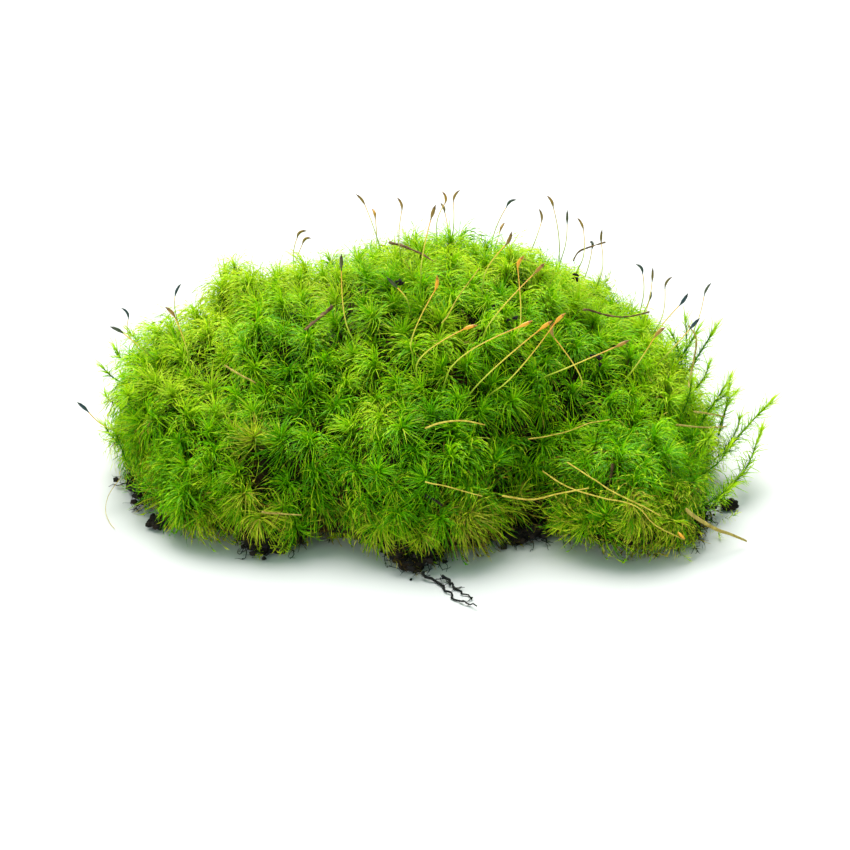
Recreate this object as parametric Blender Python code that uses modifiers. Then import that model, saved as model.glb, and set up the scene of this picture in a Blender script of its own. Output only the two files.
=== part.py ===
"""Moss clump: a lifted cushion of long-leaved moss on its humus mat.

The clump is built in its own frame: +Z up, origin on the flat underside of the humus mat,
+X to the right of the clump's best side, which faces -Y. Lengths below are millimetres.
The cushion and the leafy sprigs are the solids that their leaf tips reach.
Run with: blender --background --python part.py
"""

import math

import bmesh
import bpy
from mathutils import Matrix, Vector
from mathutils.bvhtree import BVHTree

MM = 0.001

# ---- driving dimensions, in millimetres ----
CUSHION_UNDERSIDE_Z = 4.5  # the green cushion overhangs the floor by this much
SEAM_GAP = 0.3  # clearance between pieces that touch
HUMUS_TOP_Z = CUSHION_UNDERSIDE_Z - SEAM_GAP
CUSHION_VOXEL = 2.4
HUMUS_VOXEL = 2.2
CUSHION_KEEP = 0.13  # share of faces kept when the remeshed surface is thinned
HUMUS_KEEP = 0.1
TUFT_HEIGHT = 3.4  # how far the tufts swell and sink the surface
TUFT_SPACING = 15.0
CLOD_HEIGHT = 2.0
CLOD_SPACING = 6.0
STALK_CLEARANCE = 0.8  # least distance from a stalk's centreline to the cushion
SETA_RADIUS = 0.17
SETA_RINGS = 7
CAPSULE_LENGTH = 3.3
CAPSULE_PROFILE = (0.24, 0.38, 0.46, 0.46, 0.36, 0.14)  # radius from neck to beak
SPRIG_PROFILE = (0.5, 1.5, 2.1, 1.9, 0.5)  # radius from foot to tip

# Lobes that the cushion swells into: centre x, y, z and radius x, y, z.
CUSHION_LOBES = (
    ((4, 6, 8), (51, 50, 49)),  # crown
    ((-34, 4, 8), (32, 44, 42)),  # left shoulder
    ((-47, 14, 29), (12, 18, 20)),  # corner of the left shoulder
    ((-56, -2, 8), (24, 34, 33)),  # far left
    ((40, 4, 8), (31, 42, 31)),  # right shoulder
    ((62, -6, 8), (13, 24, 18)),  # right tip
    ((-20, 28, 8), (40, 27, 36)),  # back left
    ((25, 28, 8), (38, 27, 37)),  # back right
    ((-38, -24, 8), (32, 30, 27)),  # front left
    ((-1, -31, 8), (28, 29, 31)),  # front middle
    ((48, -30, 7), (21, 29, 22)),  # front right
)

# Lobes of the humus mat, which reaches out under the cushion's edge here and there.
HUMUS_LOBES = (
    ((-32, -6, 2), (38, 38, 9)),
    ((2, -6, 2), (42, 44, 9)),
    ((34, -4, 2), (36, 38, 9)),
    ((0, 24, 2), (56, 24, 9)),
    ((-37, -44, 2), (8, 9, 8)),
    ((-3, -51, 2), (7, 10, 8)),
    ((23, -38, 2), (9, 9, 8)),
    ((57, -32, 2), (12, 16, 8)),
    ((-66, -14, 4), (9, 14, 7)),
)

# Spore stalks that carry a capsule: foot near the cushion's skin, rise from foot to neck,
# and the bearing in degrees and pitch in degrees of the capsule, which nods off the stalk.
SPOROPHYTES = (
    ((-73, 10, 29), (-0.5, 1, 5), 180, 30),
    ((-61, 2, 38), (0, 1, 3.5), 0, 50),
    ((-57, -17, 36), (-3, 2, 9), 180, 35),
    ((-67, -10, 34), (-5, 1, 4), 180, 20),
    ((-6, 4, 55), (0.5, 4, 9), 180, 50),
    ((-17, -21, 43), (-2.5, 5, 15.5), 90, 70),
    ((-4, -16, 50), (-2.5, 1, 3), 180, 50),
    ((-12, 22, 52), (-3, 4, 7), 180, 40),
    ((-1, -10, 54), (2.5, 6, 12.5), 0, 70),
    ((7, 19, 55), (0, 3, 6), 0, 40),
    ((3, 22, 54), (2, 2, 5.5), 180, 50),
    ((14, -11, 53), (5.5, 4, 8), 60, 70),
    ((22, -23, 45), (0, 7, 14), 0, 45),
    ((14, -25, 46), (12, 6, 13), 0, 50),
    ((-3, -29, 43), (5.5, 7, 13), 120, 75),
    ((-2, -33, 40), (11, 1, 10), 0, 10),
    ((5, -35, 39), (17, 2, 12), 0, 30),
    ((11, -36, 36), (15.5, 3, 14), 0, 35),
    ((16, -34, 35), (14, 3, 16), 0, 40),
    ((37, -25, 32), (-6.5, 3, 12), 30, 60),
    ((29, -27, 36), (16, 1, 7), 0, 30),
    ((49, -20, 33), (6, 2, 9), 0, 35),
    ((35, 36, 41), (1, 3, 7), 90, 80),
    ((27, 23, 49), (2, 3, 5), 180, 60),
    ((39, 27, 42), (1, 5, 8), 180, 50),
    ((44, 25, 39), (0.5, 5, 8), 45, 75),
    ((55, 20, 32), (2, 4, 6.5), 90, 75),
    ((57, 7, 33), (2, 4, 9), 0, 35),
    ((64, 6, 29), (5.5, 5, 12), 0, 50),
    ((55, -3, 33), (7, 4, 8), 0, 65),
    ((58, -8, 32), (6.5, 2, 7), 0, 50),
    ((-74, -20, 19), (-6, 0, 4.5), 180, 40),
)

# Bare stalks, twigs and blades: name, radius, clearance, flatness, points along the piece.
STRANDS = (
    ("stalk_upright", 0.22, 0.8, 1, ((4, -23, 47), (8, -21, 54), (13, -18, 60))),
    (
        "stalk_long",
        0.22,
        0.8,
        1,
        ((28, -40, 17), (34, -49, 17), (43, -55, 17), (49, -56, 16), (54, -58, 11), (60, -53, 6)),
    ),
    ("stalk_crossing", 0.22, 2.0, 1, ((35, -44, 20), (39, -50, 20), (45, -54, 18), (54, -57, 14))),
    ("stalk_middle", 0.22, 0.8, 1, ((24, -37, 24), (30, -35, 24), (37, -35, 26), (44, -35, 27))),
    ("stalk_low", 0.24, 0.8, 1, ((0, -56, 22), (5, -56, 21), (13, -55, 18))),
    ("twig_top", 0.42, 1.1, 1, ((-9, 12, 57), (-6, 10, 57), (-1, 2, 58), (2, -3, 58))),
    ("bark_chip", 0.75, 1.3, 0.45, ((-22, -11, 47), (-25, -14, 46), (-29, -19, 44))),
    ("twig_pale", 0.28, 0.9, 1, ((-48, -23, 37), (-44, -27, 36), (-40, -30, 35))),
    ("twig_right", 0.34, 1.1, 1, ((38, -4, 43), (42, 0, 41), (48, 3, 38), (56, 10, 37))),
    ("twig_back", 0.3, 1.0, 1, ((37, 28, 42), (39, 30, 45), (42, 31, 46), (46, 32, 47))),
    ("dead_stalk", 0.34, 1.0, 1, ((64, -13, 26), (65.5, -8, 30), (66.5, -5, 36), (64.5, -3, 39))),
    ("pine_needle_long", 0.3, 1.0, 1, ((60, -31, 25), (67, -26, 22), (73, -21, 20))),
    ("pine_needle_short", 0.3, 1.2, 1, ((65, -23, 25), (69, -20.5, 23), (73, -18.5, 21.5))),
    ("grass_blade", 0.65, 1.6, 0.3, ((60, -52, 13), (68, -50, 7), (72, -48, 4.5), (76.5, -46, 1.5))),
    ("dead_blade", 0.45, 1.5, 0.4, ((-38, -53, 13), (-34, -54, 13), (-29, -53, 12))),
    (
        "root_main",
        0.4,
        0.8,
        1,
        ((-1, -62, 2), (1, -63, 1), (3, -65, 0.5), (5, -69, 0.5), (8, -74, 0.5), (12, -77, 0.5)),
    ),
    ("root_fork", 0.3, 0.8, 1, ((3.8, -63, 0.8), (5.8, -65, 0.5), (8, -69, 0.5), (10.8, -72.5, 0.5))),
)

# Leafy sprigs that stand out of the right end: foot, bend and tip.
SPRIGS = (
    ((63, -1, 29), (65, 0, 32), (67, 0, 36)),
    ((67, 4, 26), (69, 5, 29), (72, 6, 34)),
    ((68, -17, 21), (71, -16, 24), (73, -15, 28)),
    ((72, -8, 15), (75, -7, 19), (75, -6, 25)),
    ((76, -8, 9), (80, -4, 12), (86, 1, 16)),
    ((72, -28, 5), (78, -20, 6), (83, -9, 13)),
)

# Crumbs of soil that lie beside the mat: centre and radii.
CRUMBS = (
    ((-64, -36, 1.7), (3, 2.2, 1.6)),
    ((74, -26, 1.4), (2.2, 1.8, 1.3)),
)


def clear_scene():
    for obj in list(bpy.data.objects):
        bpy.data.objects.remove(obj, do_unlink=True)


def new_collection(name):
    collection = bpy.data.collections.new(name)
    bpy.context.scene.collection.children.link(collection)
    return collection


def material(name, colour, roughness):
    made = bpy.data.materials.new(name)
    made.use_nodes = True
    shader = made.node_tree.nodes["Principled BSDF"]
    shader.inputs["Base Color"].default_value = (*colour, 1.0)
    shader.inputs["Roughness"].default_value = roughness
    shader.inputs["Metallic"].default_value = 0.0
    return made


def link(name, mesh, collection, mat):
    obj = bpy.data.objects.new(name, mesh)
    mesh.materials.append(mat)
    collection.objects.link(obj)
    return obj


def mesh_from(bm, name):
    mesh = bpy.data.meshes.new(name)
    bm.to_mesh(mesh)
    bm.free()
    return mesh


def placed(centre, radii):
    return Matrix.Translation(Vector(centre) * MM) @ Matrix.Diagonal((*(Vector(radii) * MM), 1))


def lobed_mesh(name, lobes):
    """One mesh of overlapping ellipsoids, which the Remesh modifier joins into one skin."""
    bm = bmesh.new()
    for centre, radii in lobes:
        bmesh.ops.create_uvsphere(
            bm, u_segments=32, v_segments=20, radius=1, matrix=placed(centre, radii)
        )
    return mesh_from(bm, name)


def box_cutter(name, low, high, collection):
    bm = bmesh.new()
    middle = (Vector(high) + Vector(low)) / 2
    bmesh.ops.create_cube(bm, size=1, matrix=placed(middle, Vector(high) - Vector(low)))
    obj = bpy.data.objects.new(name, mesh_from(bm, name))
    collection.objects.link(obj)
    obj.hide_render = True
    obj.display_type = "WIRE"
    return obj


def skin(obj, voxel, keep, height, spacing):
    """Joins the lobes, softens the seams, swells the skin into soft lumps and thins it."""
    remesh = obj.modifiers.new("one_skin", "REMESH")
    remesh.mode = "VOXEL"
    remesh.voxel_size = voxel * MM
    smooth = obj.modifiers.new("soften", "SMOOTH")
    smooth.factor = 0.5
    smooth.iterations = 8
    clouds = bpy.data.textures.new(obj.name + "_clouds", "CLOUDS")
    clouds.noise_scale = spacing * MM
    clouds.noise_depth = 1
    displace = obj.modifiers.new("lumps", "DISPLACE")
    displace.texture = clouds
    displace.texture_coords = "LOCAL"
    displace.strength = height * MM
    displace.mid_level = 0.5
    thin = obj.modifiers.new("thin", "DECIMATE")
    thin.ratio = keep


def cut(obj, cutter):
    boolean = obj.modifiers.new("cut_" + cutter.name, "BOOLEAN")
    boolean.operation = "DIFFERENCE"
    boolean.object = cutter


def make_cushion(parts, cutters, mat):
    obj = link("moss_cushion", lobed_mesh("moss_cushion", CUSHION_LOBES), parts, mat)
    skin(obj, CUSHION_VOXEL, CUSHION_KEEP, TUFT_HEIGHT, TUFT_SPACING)
    cut(obj, box_cutter("under_cushion", (-120, -120, -60), (120, 120, CUSHION_UNDERSIDE_Z), cutters))
    return obj


def make_humus(parts, cutters, mat):
    obj = link("humus_mat", lobed_mesh("humus_mat", HUMUS_LOBES), parts, mat)
    skin(obj, HUMUS_VOXEL, HUMUS_KEEP, CLOD_HEIGHT, CLOD_SPACING)
    cut(obj, box_cutter("under_humus", (-120, -120, -60), (120, 120, 0), cutters))
    cut(obj, box_cutter("over_humus", (-120, -120, HUMUS_TOP_Z), (120, 120, 60), cutters))
    return obj


class Surroundings:
    """The skins that the small pieces keep clear of. Points are in millimetres."""

    def __init__(self, objects):
        bpy.context.view_layer.update()
        graph = bpy.context.evaluated_depsgraph_get()
        self.trees = [BVHTree.FromObject(obj, graph) for obj in objects]

    def clear(self, point, distance):
        """The point itself, or the nearest spot that keeps the distance from every skin."""
        point = Vector(point) * MM
        for tree in self.trees * 5:
            spot, normal, _, gap = tree.find_nearest(point)
            away = point - spot
            inside = away.dot(normal) < -0.1 * gap
            if inside or gap < distance * MM:
                way = normal if inside or gap < 1e-7 else away / gap
                point = spot + way * distance * MM
        return point / MM

    def foot(self, point, distance):
        """The spot on the cushion nearest the point, raised by the distance, and the normal."""
        spot, normal, _, _ = self.trees[0].find_nearest(Vector(point) * MM)
        return spot / MM + normal * distance, normal


def curve_through(points, steps):
    """Points evenly spread over a smooth curve through the given ones."""
    points = [Vector(point) for point in points]
    ends = [points[0] * 2 - points[1], *points, points[-1] * 2 - points[-2]]
    spans = len(points) - 1
    curve = []
    for step in range(steps):
        along = spans * step / (steps - 1)
        i = min(int(along), spans - 1)
        t = along - i
        a, b, c, d = ends[i : i + 4]
        curve.append(
            0.5 * (2 * b + (c - a) * t + (2 * a - 5 * b + 4 * c - d) * t**2 + (3 * b - a - 3 * c + d) * t**3)
        )
    return curve


def loft(name, centres, radii, sides, flatness=1.0, facing=None):
    """A closed tube through the centres, with a ring of the given radius at each.

    Flatness thins it along the facing direction.
    """
    bm = bmesh.new()
    rings = []
    across = facing
    for i, centre in enumerate(centres):
        ahead = (centres[min(i + 1, len(centres) - 1)] - centres[max(i - 1, 0)]).normalized()
        start = across or (Vector((0, 0, 1)) if abs(ahead.z) < 0.9 else Vector((1, 0, 0)))
        across = (start - ahead * start.dot(ahead)).normalized()
        beside = ahead.cross(across)
        ring = []
        for side in range(sides):
            angle = math.tau * side / sides
            offset = across * math.cos(angle) * flatness + beside * math.sin(angle)
            ring.append(bm.verts.new((centre + offset * radii[i]) * MM))
        rings.append(ring)
    for low, high in zip(rings, rings[1:]):
        for side in range(sides):
            after = (side + 1) % sides
            bm.faces.new((low[side], low[after], high[after], high[side]))
    bm.faces.new(rings[0][::-1])
    bm.faces.new(rings[-1])
    bmesh.ops.recalc_face_normals(bm, faces=bm.faces)
    return mesh_from(bm, name)


def bearing(degrees, pitch):
    turn = math.radians(degrees)
    rise = math.radians(pitch)
    return Vector((math.cos(turn) * math.cos(rise), math.sin(turn) * math.cos(rise), math.sin(rise)))


def make_sporophyte(name, entry, around, parts, mat):
    near, rise, turn, pitch = entry
    foot, normal = around.foot(near, STALK_CLEARANCE)
    neck = foot + Vector(rise)
    bend = foot + normal * Vector(rise).length * 0.4
    centres = []
    for ring in range(SETA_RINGS):
        t = ring / (SETA_RINGS - 1)
        spot = foot * (1 - t) ** 2 + bend * 2 * t * (1 - t) + neck * t**2
        centres.append(around.clear(spot, STALK_CLEARANCE))
    radii = [SETA_RADIUS] * SETA_RINGS
    heading = (centres[-1] - centres[-2]).normalized()
    nod = bearing(turn, pitch)
    spot = centres[-1]
    steps = len(CAPSULE_PROFILE)
    for i, radius in enumerate(CAPSULE_PROFILE):
        way = heading.lerp(nod, (i + 1) / steps).normalized()
        spot = around.clear(spot + way * CAPSULE_LENGTH / steps, STALK_CLEARANCE + radius)
        centres.append(spot)
        radii.append(radius)
    link(name, loft(name, centres, radii, 6), parts, mat)


def make_strand(entry, around, parts, mat):
    name, radius, clearance, flatness, points = entry
    steps = 3 * len(points) - 2
    centres = [around.clear(spot, clearance) for spot in curve_through(points, steps)]
    for spot in centres:
        spot.z = max(spot.z, radius * flatness + 0.05)
    taper = [radius * (1 - 0.45 * i / (steps - 1)) for i in range(steps)]
    facing = around.foot(points[0], 0)[1]
    link(name, loft(name, centres, taper, 6, flatness, facing), parts, mat)


def make_sprig(name, points, around, parts, mat):
    rings = len(SPRIG_PROFILE)
    centres = []
    for spot, radius in zip(curve_through(points, rings), SPRIG_PROFILE):
        spot = around.clear(spot, radius + SEAM_GAP)
        spot.z = max(spot.z, radius + 0.4)
        centres.append(spot)
    link(name, loft(name, centres, SPRIG_PROFILE, 8), parts, mat)


def make_crumb(name, centre, radii, parts, mat):
    bm = bmesh.new()
    bmesh.ops.create_icosphere(bm, subdivisions=2, radius=1, matrix=placed(centre, radii))
    link(name, mesh_from(bm, name), parts, mat)


def main():
    clear_scene()
    parts = new_collection("moss_clump")
    cutters = new_collection("cutters")
    green = material("moss_green", (0.18, 0.42, 0.02), 0.6)
    humus = material("humus_brown", (0.025, 0.018, 0.012), 0.95)
    stalk = material("stalk_ochre", (0.45, 0.25, 0.04), 0.5)
    litter = material("litter_tan", (0.25, 0.17, 0.1), 0.8)
    cushion = make_cushion(parts, cutters, green)
    mat = make_humus(parts, cutters, humus)
    around = Surroundings([cushion, mat])
    for i, entry in enumerate(SPOROPHYTES, 1):
        make_sporophyte(f"sporophyte_{i:02d}", entry, around, parts, stalk)
    for entry in STRANDS:
        rooted = entry[0].startswith("root")
        make_strand(entry, around, parts, humus if rooted else litter)
    for i, points in enumerate(SPRIGS, 1):
        make_sprig(f"leafy_sprig_{i}", points, around, parts, green)
    for i, (centre, radii) in enumerate(CRUMBS, 1):
        make_crumb(f"soil_crumb_{i}", centre, radii, parts, humus)


main()
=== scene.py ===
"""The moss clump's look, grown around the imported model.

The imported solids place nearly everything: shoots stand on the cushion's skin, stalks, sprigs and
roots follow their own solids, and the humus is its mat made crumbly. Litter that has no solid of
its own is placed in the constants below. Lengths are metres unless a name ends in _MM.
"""

import math

import bmesh
import bpy
import numpy as np
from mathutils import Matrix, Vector, noise


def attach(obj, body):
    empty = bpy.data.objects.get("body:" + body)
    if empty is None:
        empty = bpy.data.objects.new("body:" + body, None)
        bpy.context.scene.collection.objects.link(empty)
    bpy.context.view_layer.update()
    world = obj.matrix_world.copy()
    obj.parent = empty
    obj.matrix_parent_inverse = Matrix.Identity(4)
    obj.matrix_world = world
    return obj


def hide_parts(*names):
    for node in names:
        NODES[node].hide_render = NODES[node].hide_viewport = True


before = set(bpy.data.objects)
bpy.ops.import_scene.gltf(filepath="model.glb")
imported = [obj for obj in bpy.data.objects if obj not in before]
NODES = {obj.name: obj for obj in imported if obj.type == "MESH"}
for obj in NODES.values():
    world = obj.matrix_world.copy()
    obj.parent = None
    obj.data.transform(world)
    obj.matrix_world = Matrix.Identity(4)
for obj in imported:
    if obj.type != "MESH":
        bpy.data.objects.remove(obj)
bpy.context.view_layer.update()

MM = 0.001
UP = np.array((0.0, 0.0, 1.0))

# ---- moss ----
SHOOT_SPACING_MM = 6.4
LEAVES_PER_SHOOT = 196
LEAF_TURN = math.radians(137.5)  # how far round the stem one leaf stands from the next
LEAF_STEPS = 9  # a leaf is one zigzag strip of triangles, one corner a step
LEAFY_LENGTH_MM = 8.5  # stretch of stem that carries the leaves that show
TOP_INSET_MM = 4.4  # how far a shoot's tip sits under the cushion's skin, on the crown
SIDE_INSET_MM = 5.8  # and on the flanks, where its leaves arch outward
YOUNG_LEAF_MM = 6.4
OLD_LEAF_MM = 12.2
LEAF_WIDTH_MM = 0.27
LIGHT_THROUGH = 0.36  # how much of a leaf's look is light that comes through it
SKIRT_TOP = 0.016  # below this height the shoots lean further outward
THATCH_DEPTH = 0.0085  # how far the dead inner shoots sit under the cushion's skin
THATCH_LOW = 0.0043
MOSS_PIECES = 6
STEM_DEPTHS_MM = (0.5, 6, 12)  # from a shoot's tip, back along its stem
STEM_RADII = (0.0002, 0.00034, 0.0004)
HOLLOWS_MM = (  # no shoot grows close to these
    (-40, -49, 22),
    (-28, -49, 17),
    (12, -50, 26),
    (22, -47, 13),
    (-8, -30, 44),
    (58, -50, 5),
    (64, -44, 6),
    (68, -38, 6),
)
HOLLOW_RADIUS = 0.0036
BLEACHED_MM = ((-42, -52, 15), (-41, -42, 29))  # shoots gone straw-pale

# ---- sprigs and stray shoots ----
STRAY_SHOOTS = 20
LINE_STEPS = 12
GREEN_STEM = (0.5, 0.5)  # leaf tone and place along a leaf that colour a sprig's stem; the place sets its painted shade

# ---- spore stalks ----
RING_SIDES = 6  # corners in one ring of a CAD stalk
CAPSULE_RINGS = 7
STALK_SIDES = 8
SETA_STEPS = 14
FAR_GIRTH = 0.72  # stalks rooted behind the middle are slimmer
BACK_GIRTH = 0.8
BACK_STALKS = 16
ORANGE_TONE = 0.12
SLATE_TONE = 0.93
CAPSULE_SHAPE_MM = (0.16, 0.24, 0.33, 0.42, 0.46, 0.46, 0.44, 0.4, 0.41, 0.34, 0.22, 0.12)  # radii
LOOSE_SHAPE_MM = (0.1, 0.2, 0.3, 0.34, 0.34, 0.31, 0.22, 0.1)  # the loose capsule's radii

# ---- soil and roots ----
RIM_SECTORS = 72
RIM_WIDTH = 0.005
FRINGE_SHOOTS = 210
FRINGE_HEAP = (0.059, -0.041, 0)  # where the dead shoots lie thickest
SOIL_GRAINS = 470
DROPPED_GRAINS = 12
ROOTLETS = 420
SIDE_ROOTLETS = 9
SLIM_STEPS = 26
SLIM_SIDES = 7

# ---- camera, light and floor ----
FLOOR_HALF = 6.0
SKY = ((0.12, (1.0, 1.0, 1.0)), (0.2, (0.18, 0.31, 0.28)))  # by the sine of the height
SUNS = (  # name, where it stands, how wide it is in degrees, strength, colour
    ("overhead", (-0.12, 0.55, 0.9), 56, 5.7, (1.0, 0.97, 0.94)),
    ("front", (-0.7, -1.0, 0.3), 36, 1.0, (0.96, 1.0, 0.92)),
)
IMAGE_WIDTH = 850
FOCAL_PIXELS = 3000
SENSOR_MM = 36
CAMERA_RISE = math.radians(25)
CAMERA_AWAY = 0.75
AIM_HEIGHT = 0.0105

# ---- litter ----
DARK_BITS_MM = ((38, 11, 46), (41, -16, 36), (42, -15, 34.5), (21, -20, 48), (-6, -9, 53.4))
FALLEN_MM = (
    ((18, -53, 17), (25, -50, 14.5), (31, -50, 16), (38, -54, 19.5)),
    ((0, -50, 33), (4, -49, 34), (9, -47, 33.5), (14, -45, 31.5)),
)
DARK_STALK_MM = ((0, -54.5, 17.9), (2, -55, 17.1), (4, -55, 15.5))
LOOSE_CAPSULE_MM = ((59.2, -53.7, 7.9), (59.8, -54.4, 7.5), (60.7, -55.2, 6.9))
SUNK_MM = {"twig_top": 2.2}  # lowered onto the leaves, which end under the cushion's skin
HAIR_MM = ((-74, -22, 7), (-77, -25, 3.4), (-77.5, -29, 1.0), (-76, -34, 0.3), (-74.6, -37, 0.3))


# ---------------------------------------------------------------- meshes


def new_object(name, mesh, mat, smooth=True):
    obj = bpy.data.objects.new(name, mesh)
    bpy.context.scene.collection.objects.link(obj)
    mesh.materials.clear()
    mesh.materials.append(mat)
    if smooth:
        mesh.shade_smooth()
    return obj


def add_tones(mesh, faces, tones):
    """Stores each vertex's (u, v) tone in the UV map that the leaf and stalk colours read."""
    layer = mesh.uv_layers.new(name="OFBake")
    flat = np.asarray(tones, np.float32)[np.asarray(faces).reshape(-1)]
    layer.data.foreach_set("uv", flat.reshape(-1))


def triangle_mesh(name, points, faces, tones=None):
    mesh = bpy.data.meshes.new(name)
    mesh.from_pydata(points, [], faces)
    if tones is not None:
        add_tones(mesh, faces, tones)
    mesh.update()
    return mesh


def welded(obj):
    """The object's triangles with shared corners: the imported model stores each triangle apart."""
    mesh = obj.data
    mesh.calc_loop_triangles()
    points = np.empty(len(mesh.vertices) * 3, np.float32)
    mesh.vertices.foreach_get("co", points)
    faces = np.empty(len(mesh.loop_triangles) * 3, np.int32)
    mesh.loop_triangles.foreach_get("vertices", faces)
    points, index = np.unique(np.round(points.reshape(-1, 3), 6), axis=0, return_inverse=True)
    faces = index.reshape(-1)[faces].reshape(-1, 3)
    whole = (faces[:, 0] != faces[:, 1]) & (faces[:, 1] != faces[:, 2]) & (faces[:, 0] != faces[:, 2])
    return points.astype(float), faces[whole]


def unit(vectors):
    return vectors / np.maximum(np.linalg.norm(vectors, axis=-1, keepdims=True), 1e-12)


def skin_normals(points, faces, rounds):
    """Normals at the corners, evened out over their neighbours."""
    corners = points[faces]
    across = np.cross(corners[:, 1] - corners[:, 0], corners[:, 2] - corners[:, 0])
    normals = np.zeros_like(points)
    for k in range(3):
        np.add.at(normals, faces[:, k], across)
    normals = unit(normals)
    for _ in range(rounds):
        spread = normals.copy()
        for k in range(3):
            np.add.at(spread, faces[:, k], normals[faces[:, (k + 1) % 3]])
            np.add.at(spread, faces[:, k], normals[faces[:, (k + 2) % 3]])
        normals = unit(spread)
    return normals


def scatter(points, faces, normals, spacing, rng, tries=40000):
    """Spots over the skin that keep the spacing from one another, with the normal at each."""
    corners = points[faces]
    area = np.linalg.norm(
        np.cross(corners[:, 1] - corners[:, 0], corners[:, 2] - corners[:, 0]), axis=1
    )
    pick = rng.choice(len(faces), tries, p=area / area.sum())
    a, b = rng.random(tries), rng.random(tries)
    fold = a + b > 1
    a[fold], b[fold] = 1 - a[fold], 1 - b[fold]
    share = np.stack((1 - a - b, a, b), 1)[:, :, None]
    spots = (corners[pick] * share).sum(1)
    outs = unit((normals[faces[pick]] * share).sum(1))
    cells = {}
    kept = []
    for i, spot in enumerate(spots):
        cell = tuple((spot // spacing).astype(int))
        near = (
            cells.get((cell[0] + x, cell[1] + y, cell[2] + z), ())
            for x in (-1, 0, 1)
            for y in (-1, 0, 1)
            for z in (-1, 0, 1)
        )
        if all(((spots[j] - spot) ** 2).sum() >= spacing**2 for group in near for j in group):
            cells.setdefault(cell, []).append(i)
            kept.append(i)
    return spots[kept], outs[kept]


def grow_leaves(base, axis, around, length, lean, curl, droop, flow, comb, swirl, width, twist, floor, age):
    """Curved ribbons. Each argument has one row for each leaf.

    A leaf starts at its base, leans off the stem's axis, curls further over as it grows,
    droops with its weight, swirls round the stem and, by its share of comb, turns to the flow.
    Returns points, triangles and v values, which run along the leaf and start higher up the
    scale on a young one.
    """
    count = len(base)
    first = unit(np.cross(axis, np.where(np.abs(axis[:, 2:]) < 0.9, UP, (1.0, 0, 0))))
    second = np.cross(axis, first)
    towards = np.arctan2((flow * second).sum(1), (flow * first).sum(1))
    apart = (around - towards + math.pi) % math.tau - math.pi
    rows = np.empty((count, LEAF_STEPS + 1, 3))
    spot = base.copy()
    step = (length / LEAF_STEPS)[:, None]
    for k in range(LEAF_STEPS + 1):
        t = k / LEAF_STEPS
        angle = (lean + curl * t)[:, None]
        turn = (towards + apart * (1 - comb * t) + swirl * t**1.3)[:, None]
        radial = first * np.cos(turn) + second * np.sin(turn)
        beside = np.cross(axis, radial)
        way = unit(np.cos(angle) * axis + np.sin(angle) * radial - UP * (droop * t)[:, None])
        turned = beside * np.cos(twist * t)[:, None] + np.cross(way, beside) * np.sin(twist * t)[:, None]
        side = unit(turned - way * (turned * way).sum(1, keepdims=True))
        half = (width * 0.5 * (1 - 0.72 * t**1.3) * (0.8 + 0.2 * min(1.0, t * 4)))[:, None]
        rows[:, k] = spot + side * half * (0 if k == LEAF_STEPS else (-1) ** k)
        spot = spot + way * step
    rows[:, :, 2] = np.maximum(rows[:, :, 2], floor[:, None])
    strip = [(k, k + 1, k + 2) if k % 2 == 0 else (k + 1, k, k + 2) for k in range(LEAF_STEPS - 1)]
    faces = (np.arange(count) * (LEAF_STEPS + 1))[:, None, None] + np.array(strip)[None]
    # v picks the painted shade: a young leaf starts higher up the scale, so its foot is painted less dark
    start = 0.5 * (1 - age[:, None])
    along = start + (1 - start) * np.linspace(0, 1, LEAF_STEPS + 1)[None]
    return rows.reshape(-1, 3), faces.reshape(-1, 3), along.reshape(-1)


def tube(centres, radii, sides):
    """Points and triangles of a closed tube through the centres."""
    centres = np.asarray(centres, float)
    ahead = unit(np.gradient(centres, axis=0))
    start = UP if abs(ahead[0, 2]) < 0.9 else np.array((1.0, 0, 0))
    rings = []
    for centre, way, radius in zip(centres, ahead, radii):
        start = unit(start - way * (start @ way))
        other = np.cross(way, start)
        turn = np.arange(sides) * math.tau / sides
        rings.append(centre + radius * (np.outer(np.cos(turn), start) + np.outer(np.sin(turn), other)))
    points = np.vstack((*rings, centres[:1], centres[-1:]))
    faces = []
    for i in range(len(centres) - 1):
        for j in range(sides):
            a, b = i * sides + j, i * sides + (j + 1) % sides
            faces += [(a, b, b + sides), (a, b + sides, a + sides)]
    foot, tip = len(points) - 2, len(points) - 1
    top = (len(centres) - 1) * sides
    for j in range(sides):
        k = (j + 1) % sides
        faces += [(foot, k, j), (tip, top + j, top + k)]
    return points, np.array(faces)


def joined(parts):
    """Several (points, faces, tones) as one."""
    points, faces, tones = [], [], []
    start = 0
    for some_points, some_faces, some_tones in parts:
        points.append(some_points)
        faces.append(some_faces + start)
        tones.append(some_tones)
        start += len(some_points)
    return np.vstack(points), np.vstack(faces), np.vstack(tones)


def through(centres, steps):
    """Evenly spread points on a smooth curve through the centres."""
    centres = np.asarray(centres, float)
    ends = np.vstack((centres[:1] * 2 - centres[1:2], centres, centres[-1:] * 2 - centres[-2:-1]))
    along = np.linspace(0, len(centres) - 1, steps)
    i = np.minimum(along.astype(int), len(centres) - 2)
    t = (along - i)[:, None]
    a, b, c, d = ends[i], ends[i + 1], ends[i + 2], ends[i + 3]
    return 0.5 * (2 * b + (c - a) * t + (2 * a - 5 * b + 4 * c - d) * t**2 + (3 * b - a - 3 * c + d) * t**3)


# ---------------------------------------------------------------- materials


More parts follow.
